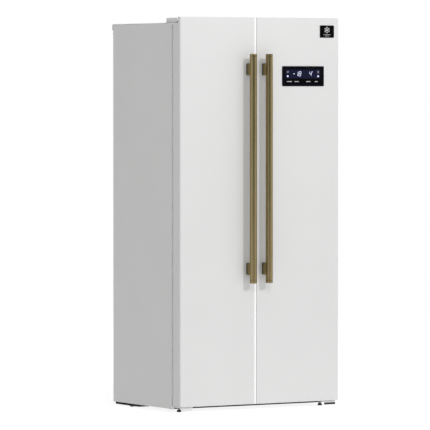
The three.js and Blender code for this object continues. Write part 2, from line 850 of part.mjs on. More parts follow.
function badge() {
  return frontPrism(roundRect([315, 390], [1669, 1724], [3, 3, 3, 3]), [-1.8 - CLEAR, -CLEAR]);
}

function addDoor(side, bins) {
  const door = doorPlan(side);
  const part = (piece) => `${door.name}_${piece}`;
  const barX = BAR_X[door.name];
  add(part("door_skin"), doorSkin(door), MATERIAL.whiteSteel);
  add(part("door_foam"), doorFoam(door), MATERIAL.foam);
  add(part("door_liner"), doorLiner(door), MATERIAL.whitePlastic);
  add(part("door_gasket"), gasket(door), MATERIAL.seal);
  add(part("door_top_cap"), doorCap(door, true), MATERIAL.whitePlastic);
  add(part("door_bottom_cap"), doorCap(door, false), MATERIAL.whitePlastic);
  add(part("handle_bar"), handleBar(barX), MATERIAL.brass);
  add(part("handle_post_upper"), handlePost(barX, POST.high), MATERIAL.brass);
  add(part("handle_post_lower"), handlePost(barX, POST.low), MATERIAL.brass);
  for (const [name, low] of bins) add(part(`door_bin_${name}`), doorBin(door, low), MATERIAL.clearPlastic);
}

// ---------------------------------------------------------------- shelves and drawers

function shelf(room, z, back) {
  const xs = [room.x0 + 1, room.x1 - 1];
  const pane = block(xs, [SHELF.front + 4, back], [z, z + SHELF.glass]);
  const trim = block(
    xs,
    [SHELF.front, SHELF.front + SHELF.trimDepth],
    [z + SHELF.glass - SHELF.trim, z + SHELF.glass + 1],
  );
  const notches = [room.x0, room.x1].map((x) =>
    block([x - 9, x + 9], [SHELF.front + 9, back], [z - 20, z]),
  );
  return union(pane, cut(trim, ...notches));
}

// An open tub. Where it stands over the hump it has a short lower part, so its floor is stepped.
function drawer(room, [z0, z1], back, stepped) {
  const xs = [room.x0 + 9, room.x1 - 9];
  const lower = ROOM.humpFront - 6;
  const solid = (margin, top) => {
    const floor = z0 + margin;
    const full = block(
      grow(xs, -margin),
      [DRAWER_FRONT + margin, back - margin],
      [(stepped ? ROOM.humpTop + 6 : z0) + margin, top],
    );
    if (!stepped) return full;
    return union(
      full,
      block(grow(xs, -margin), [DRAWER_FRONT + margin, lower - margin], [floor, top]),
    );
  };
  const tub = cut(solid(0, z1), solid(DRAWER_WALL, z1 + 5));
  const front = frontPrism(
    roundRect([room.x0 + 3, room.x1 - 3], [z0, z1 + 4], [5, 5, 5, 5]),
    [DRAWER_FRONT - 3, DRAWER_FRONT + 1],
  );
  const middle = (xs[0] + xs[1]) / 2;
  const grip = frontPrism(
    roundRect([middle - 60, middle + 60], [z1 - 34, z1 - 12], [8, 8, 8, 8]),
    [DRAWER_FRONT - 8, DRAWER_FRONT + 8],
  );
  return cut(union(tub, front), grip);
}

// ---------------------------------------------------------------- ice maker

const ICE = { x: -209, z: 1612, front: 205, back: 440, tray: [-262, -156], rows: 3 };

function iceMakerFrame() {
  const xs = [-300, -118];
  const wall = 3;
  const plate = block(xs, [ICE.front, ICE.back], [1672, 1672 + wall]);
  const mounts = [xs[0], xs[1] - 20].map((x) => block([x, x + 20], [ICE.front, ICE.back], [1674, ROOM.z1 - 0.5]));
  const cheeks = [xs[0], xs[1] - wall].map((x) => block([x, x + wall], [ICE.front, ICE.back], [1552, 1673]));
  const rear = block(xs, [ICE.back - wall, ICE.back], [1552, 1673]);
  const head = block(xs, [ICE.front, ICE.front + wall], [1594, 1673]);
  const rearHole = rod("y", [ICE.x, ICE.back - 8, ICE.z], 5.4, 20, 16);
  const frontHole = rod("y", [ICE.x, ICE.front - 4, ICE.z], 9.4, 12, 20);
  return cut(union(plate, ...mounts, ...cheeks, rear, head), rearHole, frontHole);
}

// A flexible tray on a shaft: the knob at the front turns it over to drop the cubes.
function iceTray() {
  const depths = [ICE.front + 12, ICE.back - 10];
  const [x0, x1] = ICE.tray;
  const top = ICE.z + 12;
  const body = block([x0, x1], depths, [top - 32, top]);
  const cups = [];
  const pitch = (depths[1] - depths[0] - 6) / ICE.rows;
  for (let row = 0; row < ICE.rows; row++) {
    for (const [u0, u1] of [
      [x0 + 3, ICE.x - 1.5],
      [ICE.x + 1.5, x1 - 3],
    ]) {
      const d = depths[0] + 3 + row * pitch;
      cups.push(block([u0, u1], [d + 1, d + pitch - 1], [top - 29, top + 2]));
    }
  }
  const rearPin = rod("y", [ICE.x, depths[1] - 2, ICE.z], 5, 9, 16);
  const frontPin = rod("y", [ICE.x, ICE.front - 9, ICE.z], 9, 22, 20);
  const knob = rod("y", [ICE.x, ICE.front - 22, ICE.z], 19, 16, 28);
  const grip = block([ICE.x - 4, ICE.x + 4], [ICE.front - 34, ICE.front - 20], [ICE.z - 17, ICE.z + 17]);
  return union(cut(body, ...cups), rearPin, frontPin, knob, grip);
}

// ---------------------------------------------------------------- assembly

add("outer_wrapper", outerWrapper(), MATERIAL.whiteSteel);
add("front_frame", frontFrame(), MATERIAL.whiteSteel);
add("cabinet_foam", insulation(), MATERIAL.foam);
add("back_panel", backPanel(), MATERIAL.zincSteel);
add("chassis", chassis(), MATERIAL.darkSteel);
add("machine_cover", machineCover(), MATERIAL.blackPlastic);
add("compressor", compressor(), MATERIAL.darkSteel);

add(
  "freezer_liner",
  liner(ROOM.freezer, FREEZER_SHELVES, SHELF_BACK.freezer, [344, 1330]),
  MATERIAL.whitePlastic,
);
add("fridge_liner", liner(ROOM.fridge, FRIDGE_SHELVES, SHELF_BACK.fridge, []), MATERIAL.whitePlastic);
add("freezer_duct_cover", freezerDuctCover(), MATERIAL.whitePlastic);
add("fridge_duct_cover", fridgeDuctCover(), MATERIAL.whitePlastic);
add("evaporator", evaporator(), MATERIAL.aluminium);
add("evaporator_fan", fan(), MATERIAL.blackPlastic);

FREEZER_SHELVES.forEach((z, i) => {
  add(`freezer_shelf_${i + 1}`, shelf(ROOM.freezer, z, SHELF_BACK.freezer), MATERIAL.glass);
});
FRIDGE_SHELVES.forEach((z, i) => {
  const name = i === 0 ? "crisper_cover" : `fridge_shelf_${i}`;
  add(name, shelf(ROOM.fridge, z, SHELF_BACK.fridge), MATERIAL.glass);
});
add("freezer_drawer_lower", drawer(ROOM.freezer, [78, 318], 460, true), MATERIAL.clearPlastic);
add("freezer_drawer_upper", drawer(ROOM.freezer, [345, 560], 460, false), MATERIAL.clearPlastic);
add("crisper_drawer", drawer(ROOM.fridge, [78, 318], 490, true), MATERIAL.clearPlastic);
add("ice_bucket", drawer(ROOM.freezer, ICE_BUCKET, 460, false), MATERIAL.clearPlastic);
add("ice_maker_frame", iceMakerFrame(), MATERIAL.whitePlastic);
add("ice_tray", iceTray(), MATERIAL.whitePlastic);

for (const [name, side] of [
  ["freezer", -1],
  ["fridge", 1],
]) {
  add(`${name}_top_hinge`, topHinge(side), MATERIAL.zincSteel);
  add(`${name}_hinge_cover`, hingeCover(side), MATERIAL.whitePlastic);
  add(`${name}_bottom_hinge`, bottomHinge(side), MATERIAL.whiteSteel);
}
for (const [name, side] of [
  ["left", -1],
  ["right", 1],
]) {
  add(`levelling_foot_${name}`, foot(side), MATERIAL.zincSteel);
  add(`rear_caster_${name}`, caster(side), MATERIAL.blackPlastic);
}

addDoor(-1, [
  ["upper", 1130],
  ["lower", 600],
]);
addDoor(1, [
  ["upper", 1355],
  ["middle", 860],
  ["lower", 365],
]);
add("display_module", displayModule(), MATERIAL.blackGlass);
add("door_badge", badge(), MATERIAL.blackGlass);

export default refrigerator;
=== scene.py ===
"""Looks of a free-standing side by side refrigerator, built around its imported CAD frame."""

import json
from math import cos, pi, radians, sin

import bmesh
import bpy
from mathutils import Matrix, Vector

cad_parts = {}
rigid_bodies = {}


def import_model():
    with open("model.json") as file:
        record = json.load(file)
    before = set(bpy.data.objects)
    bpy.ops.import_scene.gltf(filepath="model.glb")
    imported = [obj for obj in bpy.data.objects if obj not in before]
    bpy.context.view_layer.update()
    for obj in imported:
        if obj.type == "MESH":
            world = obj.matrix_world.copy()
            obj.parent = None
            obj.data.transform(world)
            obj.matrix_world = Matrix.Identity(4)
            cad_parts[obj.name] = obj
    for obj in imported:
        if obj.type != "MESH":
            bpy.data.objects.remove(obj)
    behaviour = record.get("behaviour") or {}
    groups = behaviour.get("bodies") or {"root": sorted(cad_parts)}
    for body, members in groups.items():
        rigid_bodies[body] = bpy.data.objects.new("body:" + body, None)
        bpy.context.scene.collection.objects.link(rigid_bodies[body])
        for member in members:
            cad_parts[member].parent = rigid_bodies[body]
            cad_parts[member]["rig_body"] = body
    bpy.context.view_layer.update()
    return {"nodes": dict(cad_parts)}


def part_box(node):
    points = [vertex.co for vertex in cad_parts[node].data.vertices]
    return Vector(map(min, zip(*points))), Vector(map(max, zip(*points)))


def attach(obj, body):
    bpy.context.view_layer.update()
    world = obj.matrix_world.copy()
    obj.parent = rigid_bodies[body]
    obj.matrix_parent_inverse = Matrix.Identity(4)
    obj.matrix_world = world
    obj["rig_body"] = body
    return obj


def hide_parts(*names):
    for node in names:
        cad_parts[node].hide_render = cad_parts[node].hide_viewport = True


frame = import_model()
MM = 0.001
SIDES = (("freezer", -1), ("fridge", 1))

# ------------------------------------------------------------------ studio

# The camera: sensor and focal length in millimetres, place in metres, turns in degrees.
SENSOR_WIDTH = 36
FOCAL_LENGTH = 341.25
EYE = (-9.613, -15.7615, 1.460)
DIP = 1.8407
YAW = -31.1826
LIGHTS_AIM = (0, 0, 0.9)
FLOOR_RADIUS = 12
HORIZON_TOP = (0.06, 0.1)


def toward(azimuth, elevation):
    """Unit vector from the object towards a light; azimuth 0 is ahead of the doors, + is right."""
    a, e = radians(azimuth), radians(elevation)
    return Vector((sin(a) * cos(e), -cos(a) * cos(e), sin(e)))


def camera():
    """The viewing angle: far off to the left, just below the top, through a long lens."""
    data = bpy.data.cameras.new("camera")
    data.sensor_width = SENSOR_WIDTH
    data.lens = FOCAL_LENGTH
    data.clip_start = 0.5
    data.clip_end = 200
    eye = bpy.data.objects.new("camera", data)
    eye.location = EYE
    eye.rotation_euler = (radians(90 - DIP), 0, radians(YAW))
    bpy.context.collection.objects.link(eye)
    bpy.context.scene.camera = eye


def light(name, kind, azimuth, elevation, energy, distance=5, **settings):
    """A lamp that faces the middle of the object and isn't seen by the camera."""
    data = bpy.data.lights.new(name, kind)
    data.energy = energy
    for key, value in settings.items():
        setattr(data, key, value)
    lamp = bpy.data.objects.new(name, data)
    direction = toward(azimuth, elevation)
    lamp.location = Vector(LIGHTS_AIM) + direction * distance
    lamp.rotation_euler = direction.to_track_quat("Z", "Y").to_euler()
    lamp.visible_camera = False
    bpy.context.collection.objects.link(lamp)


def ramp(tree, value, stops):
    """A grey level read from a list of (position, level) pairs."""
    node = tree.nodes.new("ShaderNodeValToRGB")
    elements = node.color_ramp.elements
    while len(elements) < len(stops):
        elements.new(0.5)
    for element, (position, level) in zip(elements, stops):
        element.position = position
        element.color = (level, level, level, 1)
    tree.links.new(value, node.inputs["Fac"])
    return node.outputs["Color"]


# Grey levels round the sky as (turn, level) pairs: the turn runs from behind (0) by way of the left
# (0.25), ahead of the doors (0.5) and the right (0.75) to behind again (1).
AHEAD, LEFT, RIGHT = 0.22, 0.03, 0.4
REAR, REAR_RIGHT = 0.15, 0.3
HORIZON = ((0.0, 1.0), (0.33, 1.0), (0.36, AHEAD), (0.53, AHEAD), (0.56, 1.0), (1.0, 1.0))
UPPER = (
    (0.0, REAR),
    (0.13, REAR),
    (0.19, LEFT),
    (0.33, LEFT),
    (0.36, AHEAD),
    (0.53, AHEAD),
    (0.56, RIGHT),
    (0.72, RIGHT),
    (0.76, REAR_RIGHT),
    (0.87, REAR_RIGHT),
    (1.0, REAR),
)


def mapped(tree, value, low, high, kind="LINEAR"):
    """A value spread from low to high over 0 to 1."""
    node = tree.nodes.new("ShaderNodeMapRange")
    node.interpolation_type = kind
    node.inputs["From Min"].default_value = low
    node.inputs["From Max"].default_value = high
    tree.links.new(value, node.inputs["Value"])
    return node.outputs["Result"]


def sky_turn(tree, x, y):
    """Where a direction points round the sky, from 0 to 1, with ahead of the doors at 0.5."""
    ahead = tree.nodes.new("ShaderNodeMath")
    ahead.operation = "MULTIPLY"
    ahead.inputs[1].default_value = -1
    tree.links.new(y, ahead.inputs[0])
    azimuth = tree.nodes.new("ShaderNodeMath")
    azimuth.operation = "ARCTAN2"
    tree.links.new(x, azimuth.inputs[0])
    tree.links.new(ahead.outputs[0], azimuth.inputs[1])
    return mapped(tree, azimuth.outputs[0], -pi, pi)


def sky():
    """A white horizon with a darker stretch ahead of the doors, under a dim dome.

    The camera itself sees plain white behind the object."""
    world = bpy.data.worlds.new("studio")
    world.use_nodes = True
    bpy.context.scene.world = world
    tree = world.node_tree
    nodes, links = tree.nodes, tree.links
    split = nodes.new("ShaderNodeSeparateXYZ")
    links.new(nodes.new("ShaderNodeTexCoord").outputs["Generated"], split.inputs[0])
    turn = sky_turn(tree, split.outputs["X"], split.outputs["Y"])
    dome = nodes.new("ShaderNodeMix")
    dome.data_type = "RGBA"
    height = mapped(tree, split.outputs["Z"], *HORIZON_TOP, "SMOOTHSTEP")
    links.new(height, dome.inputs["Factor"])
    links.new(ramp(tree, turn, HORIZON), dome.inputs["A"])
    links.new(ramp(tree, turn, UPPER), dome.inputs["B"])
    backdrop = nodes.new("ShaderNodeMix")
    backdrop.data_type = "RGBA"
    backdrop.inputs["B"].default_value = (1, 1, 1, 1)
    links.new(nodes.new("ShaderNodeLightPath").outputs["Is Camera Ray"], backdrop.inputs["Factor"])
    links.new(dome.outputs["Result"], backdrop.inputs["A"])
    links.new(backdrop.outputs["Result"], nodes["Background"].inputs["Color"])


def floor():
    """A white disc that ends well outside the view and meets the white backdrop."""
    solid = bmesh.new()
    bmesh.ops.create_circle(solid, cap_ends=True, segments=96, radius=FLOOR_RADIUS)
    mesh = bpy.data.meshes.new("floor")
    solid.to_mesh(mesh)
    disc = bpy.data.objects.new("floor", mesh)
    bpy.context.collection.objects.link(disc)
    paint = Paint("floor", Roughness=0.9, Specular_IOR_Level=0.0, Emission_Strength=0.9)
    paint.set("Emission Color", (1, 1, 1))
    paint.tint((0.24, 0.24, 0.24), (0.25, 0.25, 0.25), paint.noise(1.5))
    mesh.materials.append(paint.material)


def studio():
    scene = bpy.context.scene
    scene.view_settings.view_transform = "Standard"
    scene.view_settings.look = "None"
    sky()
    light("key", "SUN", 9.5, 29, 1.04, angle=radians(7))
    light("right", "AREA", 95, 20, 40, distance=6, size=3.0)
    light("overhead", "AREA", 0, 60, 9, distance=2.5, size=1.5)
    light("fill", "AREA", -24, 30, 340, distance=14, size=2.6)
    light("left", "AREA", -92, 60, 1.5, distance=3, size=1.5)
    light("rear", "AREA", 180, 25, 60, distance=6, size=3.0)
    floor()


# ------------------------------------------------------------------ materials


class Paint:
    """A procedural material round one Principled shader."""

    def __init__(self, name, **sockets):
        self.name = name
        self.material = bpy.data.materials.new(name)
        self.material.use_nodes = True
        self.tree = self.material.node_tree
        self.shader = self.tree.nodes["Principled BSDF"]
        self.place = self.tree.nodes.new("ShaderNodeTexCoord").outputs["Object"]
        for socket, value in sockets.items():
            self.shader.inputs[socket.replace("_", " ")].default_value = value

    def set(self, socket, color):
        """A colour that is the same all over."""
        self.shader.inputs[socket].default_value = (*color, 1)

    def link(self, source, socket):
        self.tree.links.new(source, self.shader.inputs[socket])

    def stretched(self, scale):
        """The object's own coordinates, scaled along each axis."""
        mapping = self.tree.nodes.new("ShaderNodeMapping")
        mapping.inputs["Scale"].default_value = scale
        self.tree.links.new(self.place, mapping.inputs["Vector"])
        return mapping.outputs["Vector"]

    def noise(self, scale, detail=2.0, stretch=(1, 1, 1)):
        """Noise with about that many cells to the metre."""
        node = self.tree.nodes.new("ShaderNodeTexNoise")
        node.inputs["Scale"].default_value = 1
        node.inputs["Detail"].default_value = detail
        vector = self.stretched([scale * s for s in stretch])
        self.tree.links.new(vector, node.inputs["Vector"])
        return node.outputs["Fac"]

    def cells(self, scale):
        """Flat cells of random tone, about that many to the metre."""
        node = self.tree.nodes.new("ShaderNodeTexVoronoi")
        node.inputs["Scale"].default_value = scale
        self.tree.links.new(self.place, node.inputs["Vector"])
        return node.outputs["Color"]

    def spread(self, value, low, high):
        """The middle of a noise, from 0.3 to 0.7, spread over low to high."""
        node = self.tree.nodes.new("ShaderNodeMapRange")
        self.tree.links.new(value, node.inputs["Value"])
        for socket, number in zip(("From Min", "From Max", "To Min", "To Max"), (0.3, 0.7, low, high)):
            node.inputs[socket].default_value = number
        return node.outputs["Result"]

    def tint(self, dark, pale, value):
        """Base colour between two tones."""
        mix = self.tree.nodes.new("ShaderNodeMix")
        mix.data_type = "RGBA"
        mix.inputs["A"].default_value = (*dark, 1)
        mix.inputs["B"].default_value = (*pale, 1)
        self.tree.links.new(self.spread(value, 0, 1), mix.inputs["Factor"])
        self.link(mix.outputs["Result"], "Base Color")
        return self

    def rough(self, low, high, value):
        """Roughness between two values."""
        self.link(self.spread(value, low, high), "Roughness")
        return self

    def bump(self, value, height, strength=1.0):
        """Raises the surface by a height in metres."""
        node = self.tree.nodes.new("ShaderNodeBump")
        node.inputs["Distance"].default_value = height
        node.inputs["Strength"].default_value = strength
        self.tree.links.new(value, node.inputs["Height"])
        self.link(node.outputs["Normal"], "Normal")
        return self


def enamel(name, dark, pale):
    """Stoved white enamel with a slight orange peel."""
    paint = Paint(name, Coat_Weight=0.25, Coat_Roughness=0.18)
    paint.tint(dark, pale, paint.noise(3))
    paint.rough(0.36, 0.44, paint.noise(40))
    return paint.bump(paint.noise(420, 3), 0.00002, 0.5)


def white_plastic():
    paint = Paint("white_plastic", Specular_IOR_Level=0.45)
    paint.tint((0.73, 0.735, 0.735), (0.76, 0.765, 0.765), paint.noise(6))
    paint.rough(0.38, 0.5, paint.noise(90))
    return paint.bump(paint.noise(1800, 4), 0.00001, 0.4)


# A paler, glossier white than the enamel: a painted highlight on the freezer door's free edge.
def painted_highlight_white():
    paint = Paint("painted_highlight_white", Specular_IOR_Level=0.5, Coat_Weight=0.3, Coat_Roughness=0.1)
    paint.tint((0.86, 0.86, 0.86), (0.89, 0.89, 0.89), paint.noise(5))
    paint.rough(0.2, 0.3, paint.noise(60))
    return paint


def brass():
    """Antique brass, brushed along its length, with a darker sheen at the rims."""
    paint = Paint("antique_brass", Metallic=1.0)
    paint.set("Specular Tint", (0.4, 0.35, 0.28))
    streaks = paint.noise(700, 3, (1, 1, 0.012))
    paint.tint((0.25, 0.198, 0.095), (0.345, 0.28, 0.15), streaks)
    paint.rough(0.17, 0.24, streaks)
    return paint.bump(streaks, 0.00002, 0.4)


# Near-black brass for the post collars: painted shade where the posts meet the door.
def shade_painted_brass():
    paint = Paint("shade_painted_brass", Metallic=1.0)
    paint.tint((0.055, 0.045, 0.026), (0.085, 0.07, 0.04), paint.noise(500, 3, (1, 1, 0.05)))
    paint.rough(0.4, 0.55, paint.noise(300))
    return paint


def seal():
    paint = Paint("door_seal", Specular_IOR_Level=0.3, Sheen_Weight=0.05)
    paint.tint((0.74, 0.74, 0.735), (0.78, 0.78, 0.775), paint.noise(25))
    paint.rough(0.6, 0.75, paint.noise(400))
    return paint.bump(paint.noise(1500, 3), 0.00002, 0.5)


def black_glass():
    paint = Paint("black_glass", Specular_IOR_Level=0.025)
    paint.tint((0.0015, 0.0015, 0.002), (0.003, 0.003, 0.0036), paint.noise(20))
    paint.rough(0.05, 0.11, paint.noise(35, 4))
    return paint


def lcd():
    """The navy window of the display, with its faint dot grain."""
    paint = Paint("lcd", Emission_Strength=0.16, Specular_IOR_Level=0.04)
    paint.set("Emission Color", (0.018, 0.02, 0.062))
    paint.tint((0.004, 0.0045, 0.014), (0.008, 0.009, 0.026), paint.noise(900, 1))
    paint.rough(0.1, 0.2, paint.noise(60))
    return paint


def glow(name, color, strength):
    paint = Paint(name, Emission_Strength=strength)
    paint.set("Emission Color", color)
    paint.tint([c * 0.8 for c in color], color, paint.noise(1200, 1))
    paint.rough(0.25, 0.4, paint.noise(200))
    return paint


def silver_print():
    paint = Paint("silver_print", Metallic=0.35)
    paint.tint((0.58, 0.58, 0.59), (0.70, 0.70, 0.71), paint.noise(600, 2, (1, 1, 0.1)))
    paint.rough(0.3, 0.45, paint.noise(800))
    return paint


def galvanised_steel():
    """Zinc-coated sheet: each spangle has its own tone."""
    paint = Paint("galvanised_steel", Metallic=0.85)
    spangle = paint.cells(130)
    paint.tint((0.47, 0.48, 0.49), (0.53, 0.54, 0.55), spangle)
    paint.rough(0.38, 0.5, spangle)
    return paint.bump(paint.noise(260, 3), 0.00003, 0.4)


def black_steel():
    paint = Paint("black_steel", Specular_IOR_Level=0.4)
    paint.tint((0.020, 0.021, 0.022), (0.034, 0.035, 0.037), paint.noise(12, 4))
    paint.rough(0.42, 0.6, paint.noise(150, 3))
    return paint.bump(paint.noise(700, 3), 0.00003, 0.5)


def black_plastic():
    paint = Paint("black_plastic", Specular_IOR_Level=0.35)
    paint.tint((0.014, 0.014, 0.015), (0.024, 0.024, 0.026), paint.noise(15))
    paint.rough(0.5, 0.68, paint.noise(200))
    return paint.bump(paint.noise(2000, 3), 0.00003, 0.6)


def aluminium():
    paint = Paint("aluminium", Metallic=1.0)
    paint.tint((0.62, 0.63, 0.64), (0.74, 0.75, 0.76), paint.noise(300, 3, (0.05, 1, 1)))
    paint.rough(0.28, 0.45, paint.noise(250))
    return paint


def shelf_glass():
    paint = Paint("shelf_glass", Transmission_Weight=1.0, IOR=1.5)
    paint.tint((0.86, 0.94, 0.91), (0.88, 0.955, 0.93), paint.noise(3))
    paint.rough(0.01, 0.03, paint.noise(30))
    return paint


def clear_plastic():
    """Moulded clear polystyrene."""
    paint = Paint("clear_plastic", Alpha=0.34, Coat_Weight=0.4, Coat_Roughness=0.05)
    paint.tint((0.80, 0.86, 0.89), (0.86, 0.91, 0.94), paint.noise(8))
    paint.rough(0.08, 0.16, paint.noise(50))
    return paint.bump(paint.noise(240, 2), 0.00002, 0.3)


def frosted_plastic():
    """Clear polystyrene with a fine moulded grain."""
    paint = Paint("frosted_plastic", Alpha=0.72)
    paint.tint((0.80, 0.85, 0.88), (0.86, 0.90, 0.93), paint.noise(8))
    paint.rough(0.3, 0.42, paint.noise(70))
    return paint.bump(paint.noise(900, 2), 0.00002, 0.5)


def insulation():
    paint = Paint("insulation", Specular_IOR_Level=0.2)
    paint.tint((0.60, 0.50, 0.26), (0.74, 0.64, 0.38), paint.noise(120, 4))
    paint.rough(0.85, 0.95, paint.noise(100))
    return paint.bump(paint.cells(500), 0.0004, 0.5)


MATERIALS = {
    paint.name: paint.material
    for paint in (
        enamel("white_enamel", (0.645, 0.645, 0.642), (0.66, 0.66, 0.657)),
        # A paler copy of the cabinet's enamel: painted light that brightens the shaded flange in the
        # groove beside the doors.
        enamel("painted_light_enamel", (0.79, 0.79, 0.786), (0.81, 0.81, 0.806)),
        white_plastic(),
        painted_highlight_white(),
        brass(),
        shade_painted_brass(),
        seal(),
        black_glass(),
        lcd(),
        glow("lit_symbol", (0.58, 0.62, 0.80), 0.42),
        # Unlit marks given a faint glow: painted light.
        glow("dim_symbol", (0.40, 0.40, 0.42), 0.15),
        glow("lamp_lens", (0.95, 0.96, 1.0), 0.4),
        silver_print(),
        galvanised_steel(),
        black_steel(),
        black_plastic(),
        aluminium(),
        shelf_glass(),
        clear_plastic(),
        frosted_plastic(),
        insulation(),
    )
}

# ------------------------------------------------------------------ mesh tools

TINY = 1e-6
AXES = {
    "x": (Vector((0, 1, 0)), Vector((0, 0, 1)), Vector((1, 0, 0))),
    "y": (Vector((1, 0, 0)), Vector((0, 0, 1)), Vector((0, 1, 0))),
    "z": (Vector((1, 0, 0)), Vector((0, 1, 0)), Vector((0, 0, 1))),
}


def stitched(solid):
    """The same solid with all its faces looking outwards."""
    bmesh.ops.recalc_face_normals(solid, faces=solid.faces)
    return solid


def bridged(solid, loops):
    """Faces between closed loops of corners, each loop joined to the next."""
    for a, b in zip(loops, loops[1:]):
        for i in range(len(a)):
            solid.faces.new((a[i - 1], a[i], b[i], b[i - 1]))


def corner_arc(centre, radius, start, steps):
    """Points of a quarter round, counter-clockwise from an angle in quarter turns."""
    if radius < TINY:
        return [centre]
    angles = [(start + i / steps) * pi / 2 for i in range(steps + 1)]
    return [(centre[0] + radius * cos(a), centre[1] + radius * sin(a)) for a in angles]


def rounded(us, vs, radii, steps=8):
    """A rectangle with its corners rounded, in the order low-left, low-right, high-right, high-left."""
    if not isinstance(radii, (list, tuple)):
        radii = [radii] * 4
    points = []
    for corner, radius in enumerate(radii):
        right, high = corner in (1, 2), corner > 1
        u = us[1] - radius if right else us[0] + radius
        v = vs[1] - radius if high else vs[0] + radius
        points += corner_arc((u, v), radius, corner + 2, steps)
    return points


def prism(points, axis, start, end):
    """A closed outline run along an axis."""
    u, v, w = AXES[axis]
    solid = bmesh.new()
    rings = [[solid.verts.new(u * a + v * b + w * t) for a, b in points] for t in (start, end)]
    solid.faces.new(rings[0])
    solid.faces.new(rings[1])
    bridged(solid, rings)
    return stitched(solid)


def box(lo, hi):
    corners = [(lo[0], lo[1]), (hi[0], lo[1]), (hi[0], hi[1]), (lo[0], hi[1])]
    return prism(corners, "z", lo[2], hi[2])


def ring(centre, axis, radius, height, sides, squash=None):
    """Points round an axis at a height along it, or the one point on the axis."""
    u, v, w = AXES[axis]
    middle = Vector(centre) + w * height
    if radius < TINY:
        return [middle]
    angles = [2 * pi * i / sides for i in range(sides)]
    reach = [radius * (squash(a) if squash else 1) for a in angles]
    return [middle + (u * cos(a) + v * sin(a)) * r for a, r in zip(angles, reach)]


def lathe(profile, centre, axis="z", sides=48, squash=None):
    """A profile of (radius, height) pairs turned about an axis; it starts and ends on the axis."""
    solid = bmesh.new()
    rings = []
    for radius, height in profile:
        points = ring(centre, axis, radius, height, sides, squash)
        rings.append([solid.verts.new(point) for point in points])
    for a, b in zip(rings, rings[1:]):
        for i in range(sides):
            corners = [a[i - 1] if len(a) > 1 else a[0], a[i] if len(a) > 1 else a[0]]
            corners += [b[i] if len(b) > 1 else b[0], b[i - 1] if len(b) > 1 else b[0]]
            solid.faces.new(list(dict.fromkeys(corners)))
    return stitched(solid)


def merged(solids):
    """Several solids in one mesh."""
    whole = bmesh.new()
    for solid in solids:
        mesh = bpy.data.meshes.new("part")
        solid.to_mesh(mesh)
        whole.from_mesh(mesh)
        bpy.data.meshes.remove(mesh)
    return whole


def boolean(solid, tool, operation="DIFFERENCE"):
    """One solid cut by another, or joined to it."""
    objects = []
    for name, part in (("body", solid), ("tool", tool)):
        mesh = bpy.data.meshes.new(name)
        part.to_mesh(mesh)
        objects.append(bpy.data.objects.new(name, mesh))
        bpy.context.collection.objects.link(objects[-1])
    body, tool_object = objects
    modifier = body.modifiers.new("cut", "BOOLEAN")
    modifier.operation = operation
    modifier.solver = "EXACT"
    modifier.object = tool_object
    result = bmesh.new()
    result.from_mesh(body.evaluated_get(bpy.context.evaluated_depsgraph_get()).to_mesh())
    for each in objects:
        bpy.data.objects.remove(each)
    return result


def piece(name, solid, body, material, replaces=None, bevel=0.0, segments=2, angle=40):
    """Makes one visible piece from a solid, rounds its sharp edges and lets it ride on a body."""
    mesh = bpy.data.meshes.new(name)
    solid.to_mesh(mesh)
    solid.free()
    mesh.shade_smooth()
    made = bpy.data.objects.new(name, mesh)
    bpy.context.collection.objects.link(made)
    mesh.materials.append(MATERIALS[material])
    if bevel:
        rounding = made.modifiers.new("edges", "BEVEL")
        rounding.width = bevel
        rounding.segments = segments
        rounding.limit_method = "ANGLE"
        rounding.angle_limit = radians(angle)
    else:
        mesh.set_sharp_from_angle(angle=radians(angle))
    shading = made.modifiers.new("shading", "WEIGHTED_NORMAL")
    shading.keep_sharp = True
    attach(made, body)
    if replaces:
        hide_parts(replaces)


def cad_solid(node):
    """A copy of a CAD node's mesh with its flat faces joined up."""
    solid = bmesh.new()
    solid.from_mesh(frame["nodes"][node].data)
    bmesh.ops.remove_doubles(solid, verts=solid.verts, dist=1e-5)
    bmesh.ops.dissolve_limit(solid, angle_limit=radians(0.4), verts=solid.verts, edges=solid.edges)
    return solid


def refined(node, material, bevel, segments=2):
    """A CAD node's shape with rounded edges and smooth curves."""
    body = frame["nodes"][node]["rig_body"]
    piece(f"{node}_finish", cad_solid(node), body, material, node, bevel, segments)


def grown(low_high, by):
    """A pair of limits moved apart by a length, or together by a negative one."""
    return (low_high[0] - by, low_high[1] + by)


def span(node, axis):
    """The limits of a CAD node along one axis."""
    lo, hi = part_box(node)
    i = "xyz".index(axis)
    return (lo[i], hi[i])


# ------------------------------------------------------------------ doors

DOOR_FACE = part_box("freezer_door_skin")[0].y
SHEET = 1.0 * MM
RETURN = 12 * MM
HINGE_EDGE = 8 * MM
FREE_EDGE = 3 * MM
EDGE_STEPS = 12
NOTCH_WIDTH = 80 * MM
NOTCH_FRONT = 17 * MM
NOTCH_DEPTH = 26 * MM
WINDOW_INSET = 8 * MM


